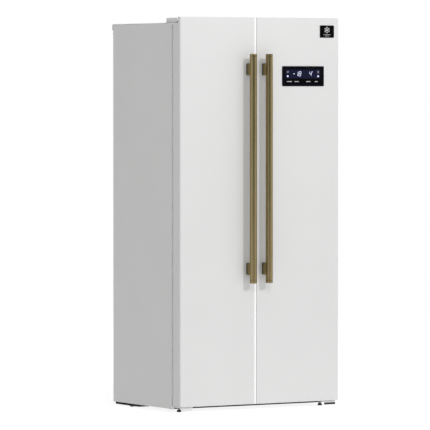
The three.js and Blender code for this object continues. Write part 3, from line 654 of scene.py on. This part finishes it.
def door_skin(name, side):
    """Folded sheet: front, rounded edges, sides and a short return, notched for the top hinge."""
    node = f"{name}_door_skin"
    xs, ys, zs = (span(node, axis) for axis in "xyz")
    radii = [HINGE_EDGE, FREE_EDGE] if side < 0 else [FREE_EDGE, HINGE_EDGE]
    outer = rounded(xs, ys, radii + [0, 0], EDGE_STEPS)
    inner_radii = [r - SHEET for r in radii] + [0, 0]
    inner = rounded(grown(xs, -SHEET), grown(ys, -SHEET), inner_radii, EDGE_STEPS)
    shell = boolean(prism(outer, "z", *zs), prism(inner, "z", *grown(zs, MM)))
    mouth_lo = (xs[0] + RETURN, ys[1] - 5 * MM, zs[0] - MM)
    mouth_hi = (xs[1] - RETURN, ys[1] + 5 * MM, zs[1] + MM)
    shell = boolean(shell, box(mouth_lo, mouth_hi))
    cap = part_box(f"{name}_door_top_cap")
    outer_edge = xs[0] if side < 0 else xs[1]
    reach = sorted((outer_edge + side * MM, outer_edge - side * NOTCH_WIDTH))
    notch_lo = (reach[0], DOOR_FACE + NOTCH_FRONT, cap[1].z - NOTCH_DEPTH)
    notch_hi = (reach[1], ys[1] + MM, zs[1] + MM)
    shell = boolean(shell, box(notch_lo, notch_hi))
    if side > 0:
        lo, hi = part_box("display_module")
        window_lo = (lo.x + WINDOW_INSET, ys[0] - MM, lo.z + WINDOW_INSET)
        window_hi = (hi.x - WINDOW_INSET, ys[0] + 2 * MM, hi.z - WINDOW_INSET)
        shell = boolean(shell, box(window_lo, window_hi))
    piece(f"{name}_door_sheet", shell, f"{name}_door", "white_enamel", node)


HIGHLIGHT_STRIP_WIDTH = 8.4 * MM
HIGHLIGHT_STRIP_LIP = 1.9 * MM


def painted_highlight_strip():
    """A bright strip let into the freezer door's free edge, with a lip over the gap: its extra
    brightness is a painted highlight of light falling from the right.
    """
    _, free = span("freezer_door_skin", "x")
    xs = (free - HIGHLIGHT_STRIP_WIDTH, free + HIGHLIGHT_STRIP_LIP)
    ys = (DOOR_FACE - 0.25 * MM, DOOR_FACE + 4 * MM)
    zs = grown(span("freezer_door_skin", "z"), -0.5 * MM)
    strip = prism(rounded(xs, ys, [0.2 * MM, MM, MM, 0.2 * MM], 4), "z", *zs)
    piece("freezer_painted_highlight_strip", strip, "freezer_door", "painted_highlight_white")


SEAM = 12 * MM
BAR_SIDES = 72


def handle_bar(name):
    """A turned bar with a fine seam near each end."""
    node = f"{name}_handle_bar"
    lo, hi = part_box(node)
    low, high = lo.z, hi.z
    r, edge, groove = (hi.x - lo.x) / 2, 1.4 * MM, 0.8 * MM
    end = [(r - edge + edge * sin(a), edge - edge * cos(a)) for a in (0, 0.4, 0.8, 1.2, pi / 2)]
    seam = [(r, SEAM - groove), (r - groove, SEAM), (r, SEAM + groove)]
    half = end + seam
    profile = [(0, low)] + [(radius, low + up) for radius, up in half]
    profile += [(radius, high - up) for radius, up in reversed(half)] + [(0, high)]
    centre = ((lo.x + hi.x) / 2, (lo.y + hi.y) / 2, 0)
    solid = lathe(profile, centre, sides=BAR_SIDES)
    piece(f"{name}_bar", solid, f"{name}_door", "antique_brass", node, angle=35)
    return centre, r


SHADED_COLLAR = 10 * MM


def handle_post(name, which, bar_centre, bar_radius):
    """A flat stand-off, saddled to the bar, on a darker collar against the door: the collar's
    near-black brass is painted shade where the door shades the post's foot.
    """
    node = f"{name}_handle_post_{which}"
    lo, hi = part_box(node)
    xs, zs = (lo.x, hi.x), (lo.z, hi.z)
    shaded_collar_front = hi.y - SHADED_COLLAR
    stem = prism(rounded(xs, zs, 4 * MM), "y", bar_centre[1] + 8 * MM, shaded_collar_front)
    r = bar_radius + 0.05 * MM
    ends = grown(zs, MM)
    outline = [(0, ends[0]), (r, ends[0]), (r, ends[1]), (0, ends[1])]
    saddle = lathe(outline, bar_centre, sides=BAR_SIDES)
    body = f"{name}_door"
    piece(f"{name}_post_{which}", boolean(stem, saddle), body, "antique_brass", node, 0.8 * MM, 3)
    foot = prism(rounded(grown(xs, -MM), grown(zs, -MM), 3.2 * MM), "y", shaded_collar_front, hi.y)
    # The collar's near-black brass is painted shade at the post's base.
    piece(f"{name}_post_shaded_collar_{which}", foot, body, "shade_painted_brass", bevel=0.6 * MM)


SEAL_WIDTH = 14 * MM
SEAL_CORNER = 8 * MM
FLAP_OUT, FLAP_IN = 13 * MM, 2 * MM
FLAP_DEPTH = 9 * MM
# The seal's section as (inset, depth) shares of its width and thickness, outer side first.
SEAL_SECTION = (
    [(0.03, 0.0), (0.0, 0.10), (0.0, 0.26), (0.20, 0.36), (0.20, 0.44), (0.0, 0.54)]
    + [(0.0, 0.66), (0.16, 0.74), (0.16, 0.80), (0.0, 0.88), (0.03, 1.0)]
    + [(0.97, 1.0), (1.0, 0.94), (1.0, 0.70), (0.86, 0.62), (0.86, 0.40), (1.0, 0.30), (0.97, 0.0)]
)


def gasket(name, side):
    """A magnetic bellows seal: a ribbed section run round the door, with a flap at the hinge side."""
    node = f"{name}_door_gasket"
    lo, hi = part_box(node)
    depth = hi.y - lo.y
    solid = bmesh.new()
    loops = []
    for share, out in SEAL_SECTION:
        inset = share * SEAL_WIDTH
        radius = max(SEAL_CORNER - inset, 1.5 * MM)
        outline = rounded(grown((lo.x, hi.x), -inset), grown((lo.z, hi.z), -inset), radius, 6)
        loops.append([solid.verts.new((x, lo.y + out * depth, z)) for x, z in outline])
    bridged(solid, loops + loops[:1])
    outer = lo.x if side < 0 else hi.x
    xs = sorted((outer + side * FLAP_OUT, outer - side * FLAP_IN))
    zs = grown((lo.z, hi.z), -SEAL_CORNER)
    flap = prism(rounded(xs, (lo.y, lo.y + FLAP_DEPTH), 2 * MM, 4), "z", *zs)
    whole = merged([stitched(solid), flap])
    piece(f"{name}_seal", whole, f"{name}_door", "door_seal", node, angle=50)


# ------------------------------------------------------------------ display and badge


def bar_shape(u, v, width, height):
    """A level bar with rounded ends about a point."""
    corner = min(width, height) * 0.45
    return rounded(grown((u, u), width / 2), grown((v, v), height / 2), corner, 3)


def disc_shape(u, v, radius, sides=24):
    """A round dot about a point."""
    turns = [2 * pi * i / sides for i in range(sides)]
    return [(u + radius * cos(a), v + radius * sin(a)) for a in turns]


def stroke(a, b, width):
    """A thin bar between two points."""
    a, b = Vector(a), Vector(b)
    across = (b - a).orthogonal().normalized() * width / 2
    return [tuple(a + across), tuple(b + across), tuple(b - across), tuple(a - across)]


SEGMENTS = {
    "top": ((0, 1), (1, 1)),
    "upper_right": ((1, 1), (1, 0.5)),
    "lower_right": ((1, 0.5), (1, 0)),
    "bottom": ((0, 0), (1, 0)),
    "lower_left": ((0, 0.5), (0, 0)),
    "upper_left": ((0, 1), (0, 0.5)),
    "middle": ((0, 0.5), (1, 0.5)),
}
DIGITS = {
    "1": ("upper_right", "lower_right"),
    "4": ("upper_left", "middle", "upper_right", "lower_right"),
    "8": tuple(SEGMENTS),
    "-": ("middle",),
}


def readout(text, u, v, height):
    """Seven-segment digits, leaning a little, starting at the lower left."""
    width, pitch, lean, line = height * 0.5, height * 0.78, 0.16, height * 0.13
    strokes = []
    for index, character in enumerate(text):
        for name in DIGITS[character]:
            ends = []
            for a, b in SEGMENTS[name]:
                up = b * height
                ends.append(Vector((u + index * pitch + a * width + up * lean, v + up)))
            gap = (ends[1] - ends[0]).normalized() * line * 0.35
            strokes.append(stroke(ends[0] + gap, ends[1] - gap, line))
    return strokes


# Of an arm's length, where its branches start and how long they are, and their turn in radians.
BRANCH_START, BRANCH_LENGTH, BRANCH_TURN = 0.55, 0.36, 0.9


def snowflake(u, v, radius, line):
    """A frost star: six arms, each with two short branches."""
    strokes = []
    for arm in range(6):
        a = arm * pi / 3 + pi / 6
        tip = Vector((u, v)) + Vector((cos(a), sin(a))) * radius
        strokes.append(stroke((u, v), tip, line))
        root = Vector((u, v)).lerp(tip, BRANCH_START)
        for turn in (-BRANCH_TURN, BRANCH_TURN):
            branch = root + Vector((cos(a + turn), sin(a + turn))) * radius * BRANCH_LENGTH
            strokes.append(stroke(root, branch, line * 0.8))
    return strokes


def plates(shapes, front, thick):
    """Thin raised marks on a face that looks ahead."""
    return merged([prism(shape, "y", front - thick, front) for shape in shapes])


# The display's layout, in metres from the plate's lower left corner.
DIGIT_FOOT, DIGIT_HEIGHT = 46 * MM, 20 * MM
READOUTS = (("-18", 56 * MM), ("4", 143 * MM))
DEGREE_DOTS = (99 * MM, 160 * MM)
DEGREE_HEIGHT, DEGREE_RADIUS = 65 * MM, 1.9 * MM
UPPER_ROW, LOWER_ROW = 64 * MM, 45 * MM
LEFT_COLUMN = 29 * MM
RIGHT_MARGIN = 31 * MM
KEY_RADIUS = 4.4 * MM
KEY_BARS = ((38 * MM, 27 * MM), (77 * MM, 23 * MM), (138 * MM, 23 * MM), (181 * MM, 16 * MM))
KEY_BAR_ROW, KEY_BAR_HEIGHT = 21 * MM, 3.4 * MM
PRINT = 0.06 * MM
MARK = 0.05 * MM


def display_plate(lo, hi):
    """A black glass plate with its back let into the door, and a fine border round its face."""
    face = lo.y
    xs, zs = (lo.x, hi.x), (lo.z, hi.z)
    plate = prism(rounded(xs, zs, 4 * MM), "y", face, DOOR_FACE - 0.1 * MM)
    back = prism(rounded(grown(xs, -9 * MM), grown(zs, -9 * MM), MM), "y", face + MM, hi.y)
    whole = boolean(plate, back, "UNION")
    piece("display_plate", whole, "fridge_door", "black_glass", "display_module", 0.5 * MM, 3)
    border = rounded(grown(xs, -5.5 * MM), grown(zs, -5.5 * MM), 2.5 * MM)
    inside = rounded(grown(xs, -6.3 * MM), grown(zs, -6.3 * MM), 2.0 * MM)
    rim = boolean(prism(border, "y", face - PRINT, face), prism(inside, "y", face - MM, face + MM))
    piece("display_border", rim, "fridge_door", "lcd")


def display_window(lo, hi):
    """The navy window that the digits show in."""
    xs = (lo.x + 17 * MM, hi.x - 20 * MM)
    zs = (lo.z + 35 * MM, lo.z + 75 * MM)
    screen = prism(rounded(xs, zs, 2 * MM), "y", lo.y - PRINT, lo.y)
    piece("display_window", screen, "fridge_door", "lcd")


def display_readouts(lo, left, right):
    """Two readouts with their degree dots, and a lit dot at each side."""
    lit = []
    for text, start in READOUTS:
        lit += readout(text, lo.x + start, lo.z + DIGIT_FOOT, DIGIT_HEIGHT)
    for u in (left, right):
        lit.append(disc_shape(u, lo.z + LOWER_ROW, KEY_RADIUS))
    for across in DEGREE_DOTS:
        lit.append(disc_shape(lo.x + across, lo.z + DEGREE_HEIGHT, DEGREE_RADIUS, 12))
    piece("display_readouts", plates(lit, lo.y - PRINT, MARK), "fridge_door", "lit_symbol")


def display_marks(lo, left, right):
    """A frost star, three short lines and a row of plain key bars, all unlit, given a faint painted
    glow.
    """
    row = lo.z + UPPER_ROW
    faint = snowflake(left, row, 5 * MM, MM)
    for up in (-4 * MM, 0, 4 * MM):
        faint.append(stroke((right - 4 * MM, row + up), (right + 4 * MM, row + up), 1.6 * MM))
    for across, width in KEY_BARS:
        faint.append(bar_shape(lo.x + across, lo.z + KEY_BAR_ROW, width, KEY_BAR_HEIGHT))
    piece("display_marks", plates(faint, lo.y - PRINT, MARK), "fridge_door", "dim_symbol")


def display():
    """A black glass display with a navy window, generic digits and plain key marks."""
    lo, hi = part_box("display_module")
    left, right = lo.x + LEFT_COLUMN, hi.x - RIGHT_MARGIN
    display_plate(lo, hi)
    display_window(lo, hi)
    display_readouts(lo, left, right)
    display_marks(lo, left, right)


def badge():
    """A blank black plate with a plain frost star and two lines."""
    lo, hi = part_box("door_badge")
    plate = prism(rounded((lo.x, hi.x), (lo.z, hi.z), 3 * MM), "y", lo.y, hi.y)
    piece("badge_plate", plate, "fridge_door", "black_glass", "door_badge", 0.5 * MM, 3)
    middle, width, height = (lo.x + hi.x) / 2, hi.x - lo.x, hi.z - lo.z
    shapes = snowflake(middle, lo.z + height * 0.62, height * 0.28, 2.2 * MM)
    shapes.append(bar_shape(middle, lo.z + height * 0.24, width * 0.52, 1.5 * MM))
    shapes.append(bar_shape(middle, lo.z + height * 0.13, width * 0.28, 1.1 * MM))
    piece("badge_mark", plates(shapes, lo.y, 0.12 * MM), "fridge_door", "silver_print")


# ------------------------------------------------------------------ hinge covers and base


def hinge_cover(name):
    """A moulded cap with a slightly smaller rear section and a slot for the hinge plate."""
    node = f"{name}_hinge_cover"
    lo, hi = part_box(node)
    step, drop, wall = 28 * MM, 1.4 * MM, 2.2 * MM
    front = rounded((lo.x, hi.x), (lo.y, hi.y - step), [5 * MM, 5 * MM, 0, 0])
    rear_xs = (lo.x + drop, hi.x - drop)
    rear = rounded(rear_xs, (hi.y - step - MM, hi.y), [0, 0, 8 * MM, 8 * MM])
    top = hi.z - drop
    shell = boolean(prism(front, "z", lo.z, hi.z), prism(rear, "z", lo.z, top), "UNION")
    inside = rounded(grown(rear_xs, -wall), (lo.y + wall, hi.y - wall), 4 * MM)
    shell = boolean(shell, prism(inside, "z", lo.z - MM, top - wall))
    hinge_lo, hinge_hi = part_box(f"{name}_top_hinge")
    outer, inward = (hinge_lo.x, 1) if name == "freezer" else (hinge_hi.x, -1)
    slot_out, slot_in, slot_depth, slot_height = 1.8 * MM, 17 * MM, 5 * MM, 5.2 * MM
    xs = sorted((outer - inward * slot_out, outer + inward * slot_in))
    slot = box((xs[0], lo.y - MM, lo.z - MM), (xs[1], lo.y + slot_depth, lo.z + slot_height))
    piece(f"{name}_cover", boolean(shell, slot), "cabinet", "white_plastic", node, MM, 3)


SHADE_STRIP_TOP = 8 * MM
FILLER_WIDTH = 12 * MM


def painted_shade_strip():
    """A dark strip along the lower half of the right hinge bracket's lip: painted shade in the shadow
    of the fridge door.
    """
    lo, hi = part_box("fridge_bottom_hinge")
    xs = (lo.x + 5 * MM, hi.x - 3 * MM)
    shape = rounded(xs, (lo.z - MM, lo.z + SHADE_STRIP_TOP), 1.5 * MM, 4)
    strip = prism(shape, "y", lo.y - 1.2 * MM, lo.y + 0.5 * MM)
    piece("fridge_painted_shade_strip", strip, "cabinet", "black_plastic", bevel=0.3 * MM)


def corner_filler(name, side):
    """A white plate that closes the corner of the cabinet's front, under the flange, in the flange's
    paler enamel, which is painted light.
    """
    lo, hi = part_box("front_frame")
    outer = lo.x if side < 0 else hi.x
    xs = sorted((outer, outer - side * FILLER_WIDTH))
    zs = (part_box("outer_wrapper")[0].z + 0.5 * MM, lo.z)
    plate = prism(rounded(xs, zs, 0.5 * MM, 3), "y", lo.y, lo.y + 2 * MM)
    piece(f"{name}_corner_filler", plate, "cabinet", "painted_light_enamel", bevel=0.3 * MM)


THREAD_FOOT = 9.5 * MM
THREAD_DEPTH = 0.7 * MM
THREAD_TURNS = 16
FLUTES = 24
FLUTE_DEPTH = 0.035


def knurling(angle):
    """The share of its radius that the disc keeps at an angle."""
    return 1 - FLUTE_DEPTH * (1 + cos(FLUTES * angle)) / 2


def levelling_foot(name):
    """A knurled disc on a threaded stem."""
    node = f"levelling_foot_{name}"
    lo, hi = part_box(node)
    r = (hi.x - lo.x) / 2
    stem = r / 2
    centre = ((lo.x + hi.x) / 2, (lo.y + hi.y) / 2, 0)
    disc = [(0, 0), (r - 1.5 * MM, 0), (r - 0.4 * MM, 0.5 * MM), (r, 1.5 * MM)]
    disc += [(r, 7 * MM), (r - MM, 8.5 * MM), (stem + 2 * MM, 10 * MM), (0, 10 * MM)]
    knurl = lathe(disc, centre, sides=96, squash=knurling)
    thread = [(0, THREAD_FOOT)]
    for i in range(THREAD_TURNS):
        z = THREAD_FOOT + i * (hi.z - THREAD_FOOT - MM) / THREAD_TURNS
        thread += [(stem - THREAD_DEPTH, z), (stem, z + THREAD_DEPTH)]
    thread += [(stem - THREAD_DEPTH, hi.z), (0, hi.z)]
    screw = lathe(thread, centre, sides=32)
    piece(f"foot_{name}", knurl, node, "black_plastic", node, angle=30)
    piece(f"foot_stem_{name}", screw, node, "galvanised_steel", angle=30)


CASTER_SIDES = 64


def caster(name):
    """A solid roller with a bore and a hollow round each side of its hub."""
    node = f"rear_caster_{name}"
    lo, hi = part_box(node)
    r = (hi.z - lo.z) / 2
    half = (hi.x - lo.x) / 2
    centre = ((lo.x + hi.x) / 2, (lo.y + hi.y) / 2, (lo.z + hi.z) / 2)
    bore, hub, hollow, chamfer = 4.5 * MM, 9 * MM, 3 * MM, 1.2 * MM
    profile = [
        (bore, -half),
        (hub, -half),
        (hub + 0.4 * MM, -half + hollow),
        (r - 5 * MM, -half + hollow),
        (r - 4.4 * MM, -half),
        (r - chamfer, -half),
        (r, -half + chamfer),
    ]
    profile += [(radius, -t) for radius, t in reversed(profile)]
    solid = bmesh.new()
    rings = []
    for radius, t in profile:
        points = ring(centre, "x", radius, t, CASTER_SIDES)
        rings.append([solid.verts.new(point) for point in points])
    bridged(solid, rings + rings[:1])
    piece(f"caster_{name}", stitched(solid), node, "black_plastic", node, angle=30)


# ------------------------------------------------------------------ inside and back


def shelf(node):
    """A toughened glass pane in a white front trim and a low rear rail."""
    lo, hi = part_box(node)
    nose, tail = 14 * MM, 8 * MM
    pane_lo = (lo.x + 0.5 * MM, lo.y + nose - MM, hi.z - 5 * MM)
    pane_hi = (hi.x - 0.5 * MM, hi.y - tail + MM, hi.z - MM)
    pane = box(pane_lo, pane_hi)
    piece(f"{node}_pane", pane, "cabinet", "shelf_glass", node, bevel=0.4 * MM)
    front = rounded((lo.y, lo.y + nose), (lo.z, hi.z), [5 * MM, 1.5 * MM, 1.5 * MM, 4 * MM], 6)
    rear = rounded((hi.y - tail, hi.y), (hi.z - 7 * MM, hi.z), 1.2 * MM, 4)
    rails = merged([prism(shape, "x", lo.x, hi.x) for shape in (front, rear)])
    piece(f"{node}_rails", rails, "cabinet", "white_plastic", angle=50)


def drawer(node):
    """A frosted tub with a white grip rail along its front."""
    refined(node, "frosted_plastic", 0.8 * MM)
    lo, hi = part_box(node)
    corners = [2 * MM, 2 * MM, 2 * MM, 3 * MM]
    shape = rounded((lo.y, lo.y + 9 * MM), (hi.z - 13 * MM, hi.z), corners, 5)
    grip = prism(shape, "x", lo.x + 18 * MM, hi.x - 18 * MM)
    body = frame["nodes"][node]["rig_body"]
    piece(f"{node}_grip", grip, body, "white_plastic", angle=50)


LENS_LENGTH, LENS_THICKNESS = 140 * MM, 4.5 * MM
LENS_DEPTHS = (-142 * MM, -116 * MM)
LINER_WALL = 2.2 * MM


def lamp(name):
    """A flat lens over the light strip in the compartment's ceiling."""
    lo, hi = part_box(f"{name}_liner")
    middle, top = (lo.x + hi.x) / 2, hi.z - LINER_WALL
    shape = rounded(grown((middle, middle), LENS_LENGTH / 2), LENS_DEPTHS, 9 * MM, 6)
    lens = prism(shape, "z", top - LENS_THICKNESS, top)
    piece(f"{name}_lamp", lens, "cabinet", "lamp_lens", bevel=1.5 * MM, segments=3)


# The back sheet: beads, screws and plugs, from the middle and from the floor.
RAIL_HEIGHT = 27 * MM
SINK = 0.6 * MM
BEAD_MIDDLES = (-250 * MM, 250 * MM)
BEAD_FEET = (420 * MM, 860 * MM, 1300 * MM)
BEAD_WIDTH, BEAD_HEIGHT, BEAD_CORNER = 220 * MM, 260 * MM, 24 * MM
SIDE_SCREWS = 409 * MM
SCREW_ROWS = [(240 + 185 * i) * MM for i in range(9)]
MIDDLE_SCREWS = (-205 * MM, 0, 205 * MM)
PLUG_ROWS = (640 * MM, 1215 * MM)
SCREW_SIDES, PLUG_SIDES = 20, 48
# Profiles as (radius, height over the sheet's face), from the axis outwards and back.
SCREW_HEAD = [
    (0, -0.7 * MM),
    (3.8 * MM, -0.7 * MM),
    (3.8 * MM, -0.3 * MM),
    (2.6 * MM, -0.05 * MM),
    (1.2 * MM, -0.05 * MM),
    (0, -0.5 * MM),
]
FOAM_PLUG = [
    (0, -0.7 * MM),
    (18 * MM, -0.7 * MM),
    (18 * MM, -0.4 * MM),
    (16 * MM, 0),
    (7 * MM, 0),
    (5 * MM, -0.5 * MM),
    (0, -0.5 * MM),
]


def sunk_well(radius):
    return [(0, -SINK), (radius, -SINK), (radius, MM), (0, MM)]


def screw_places(lo, hi):
    """Down both sides, and along the rail at the top and the edge at the bottom."""
    places = [(side * SIDE_SCREWS, z) for side in (-1, 1) for z in SCREW_ROWS]
    return places + [(x, z) for x in MIDDLE_SCREWS for z in (hi.z - 9 * MM, lo.z + 12 * MM)]


def back_panel():
    """The rear sheet with shallow stiffening beads, screws sunk in its edges and two foam plugs."""
    lo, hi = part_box("back_panel")
    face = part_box("outer_wrapper")[1].y
    sheet = cad_solid("back_panel")
    for x in BEAD_MIDDLES:
        for z in BEAD_FEET:
            bead = rounded(grown((x, x), BEAD_WIDTH / 2), (z, z + BEAD_HEIGHT), BEAD_CORNER, 6)
            sheet = boolean(sheet, prism(bead, "y", face - SINK, face + MM))
    heads = []
    for x, z in screw_places(lo, hi):
        at = (x, hi.y if z > hi.z - RAIL_HEIGHT else face, z)
        sheet = boolean(sheet, lathe(sunk_well(4.6 * MM), at, "y", SCREW_SIDES))
        heads.append(lathe(SCREW_HEAD, at, "y", SCREW_SIDES))
    plugs = []
    for z in PLUG_ROWS:
        sheet = boolean(sheet, lathe(sunk_well(19 * MM), (0, face, z), "y", PLUG_SIDES))
        plugs.append(lathe(FOAM_PLUG, (0, face, z), "y", PLUG_SIDES))
    piece("back_panel_sheet", sheet, "cabinet", "galvanised_steel", "back_panel", angle=30)
    piece("back_screws", merged(heads), "cabinet", "black_steel", angle=40)
    piece("foam_plugs", merged(plugs), "cabinet", "white_plastic", angle=40)


# ------------------------------------------------------------------ assembly

camera()
studio()

for name, side in SIDES:
    door_skin(name, side)
    bar = handle_bar(name)
    for which in ("upper", "lower"):
        handle_post(name, which, *bar)
    gasket(name, side)
    hinge_cover(name)
    lamp(name)
    corner_filler(name, side)
    refined(f"{name}_door_top_cap", "white_plastic", 0.5 * MM)
    refined(f"{name}_door_bottom_cap", "white_plastic", 0.5 * MM)
    refined(f"{name}_door_liner", "white_plastic", 1.2 * MM, 3)
    refined(f"{name}_liner", "white_plastic", 1.0 * MM)
    refined(f"{name}_top_hinge", "galvanised_steel", 0.4 * MM)
    refined(f"{name}_bottom_hinge", "white_enamel", 0.6 * MM)
    refined(f"{name}_duct_cover", "white_plastic", 0.6 * MM)
for name in ("left", "right"):
    levelling_foot(name)
    caster(name)
display()
badge()
painted_highlight_strip()
painted_shade_strip()
refined("outer_wrapper", "white_enamel", 0.3 * MM)
# The front flange takes the paler enamel: painted light in the shaded groove between doors and cabinet.
refined("front_frame", "painted_light_enamel", 0.3 * MM)
back_panel()
refined("chassis", "black_steel", 0.4 * MM)
refined("machine_cover", "black_plastic", 0.4 * MM)
refined("compressor", "black_steel", 0.8 * MM)
for node in ("freezer_drawer_lower", "freezer_drawer_upper", "crisper_drawer", "ice_bucket"):
    drawer(node)
for node in frame["nodes"]:
    if "door_bin" in node:
        refined(node, "clear_plastic", 0.7 * MM)
    elif "shelf" in node or node == "crisper_cover":
        shelf(node)
refined("ice_maker_frame", "white_plastic", 0.6 * MM)
refined("ice_tray", "white_plastic", 0.8 * MM)
refined("evaporator_fan", "black_plastic", 0.5 * MM)
refined("evaporator", "aluminium", 0.2 * MM)
for node in ("cabinet_foam", "freezer_door_foam", "fridge_door_foam"):
    frame["nodes"][node].data.materials.clear()
    frame["nodes"][node].data.materials.append(MATERIALS["insulation"])
